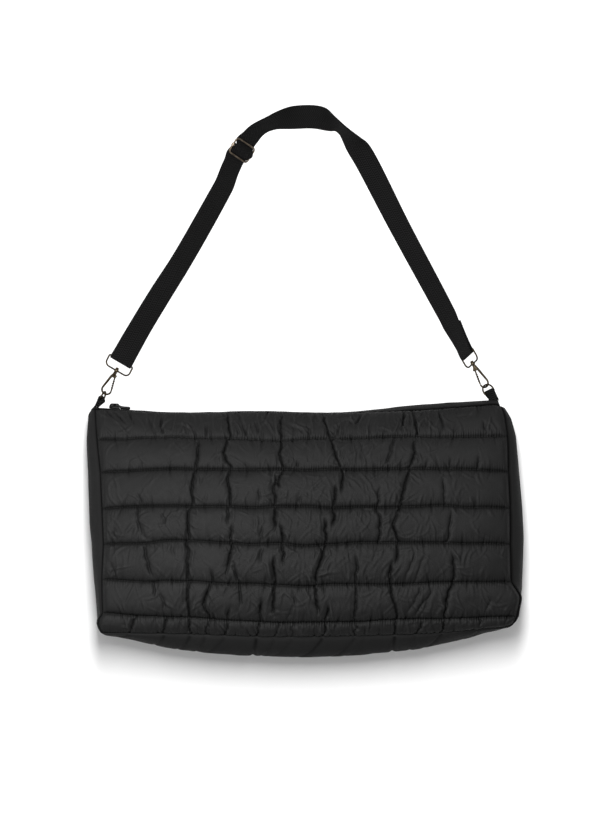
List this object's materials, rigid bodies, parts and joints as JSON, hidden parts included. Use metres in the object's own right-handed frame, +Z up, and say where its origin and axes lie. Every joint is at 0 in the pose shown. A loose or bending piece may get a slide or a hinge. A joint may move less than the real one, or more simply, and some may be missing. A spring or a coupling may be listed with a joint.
{
  "type": "padded crossbody bag",
  "caption": "Puffer-quilted zip-top crossbody bag lying on its back, with crushed horizontal channels, a plain gusset and a webbing strap on swivel hooks.",
  "frame": {"origin": "on the surface the bag lies on, under the centre of its bounding box", "axes": "+Z up from the surface, out of the front panel; +Y from the base seam towards the strap; +X to the right, seen from above"},
  "size_m": [0.5482, 0.6978, 0.1172],
  "materials": {
    "quilted_nylon": "satin, crinkled",
    "plain_nylon": "satin",
    "webbing": "matte ribbed weave",
    "zip_nylon": "satin",
    "black_metal": "satin",
    "antique_brass": "antiqued"
  },
  "bodies": {
    "bag": {"front_panel": "quilted_nylon", "back_panel": "quilted_nylon", "gusset": "plain_nylon", "zip_strip_front": "plain_nylon", "zip_strip_back": "plain_nylon", "zip_tape": "zip_nylon", "zip_coil": "zip_nylon", "zip_slider": "black_metal", "left_tab": "webbing", "right_tab": "webbing", "strap": "webbing", "left_d_ring": "antique_brass", "right_d_ring": "antique_brass", "left_swivel_loop": "antique_brass", "right_swivel_loop": "antique_brass", "buckle_frame": "antique_brass", "buckle_bar": "antique_brass"},
    "left_hook": {"left_hook_body": "antique_brass"},
    "right_hook": {"right_hook_body": "antique_brass"},
    "left_gate": {"left_hook_gate": "antique_brass"},
    "right_gate": {"right_hook_gate": "antique_brass"},
    "pull": {"zip_pull": "black_metal"}
  },
  "joints": [
    {"name": "left_hook_swivel", "type": "hinge", "parent": "bag", "child": "left_hook", "pos_m": [-0.233, 0.025, 0.0074], "axis": [0.4347, 0.8639, -0.2543], "range_deg": [-20, 20]},
    {"name": "right_hook_swivel", "type": "hinge", "parent": "bag", "child": "right_hook", "pos_m": [0.2045, 0.0335, 0.0165], "axis": [-0.499, 0.855, -0.1415], "range_deg": [-20, 20]},
    {"name": "left_gate_hinge", "type": "hinge", "parent": "left_hook", "child": "left_gate", "pos_m": [-0.24072, 0.005, 0.01278], "axis": [-0.207, -0.1789, -0.9618], "range_deg": [0, 25], "stiffness_Nm_per_rad": 0.003, "springref_deg": -11.46},
    {"name": "right_gate_hinge", "type": "hinge", "parent": "right_hook", "child": "right_gate", "pos_m": [0.21402, 0.01366, 0.01851], "axis": [-0.5182, -0.1635, 0.8395], "range_deg": [0, 25], "stiffness_Nm_per_rad": 0.003, "springref_deg": -11.46},
    {"name": "zip_pull_hinge", "type": "hinge", "parent": "bag", "child": "pull", "pos_m": [-0.23809, -0.03079, 0.026], "axis": [0, 0, 1], "range_deg": [0, 150]}
  ]
}
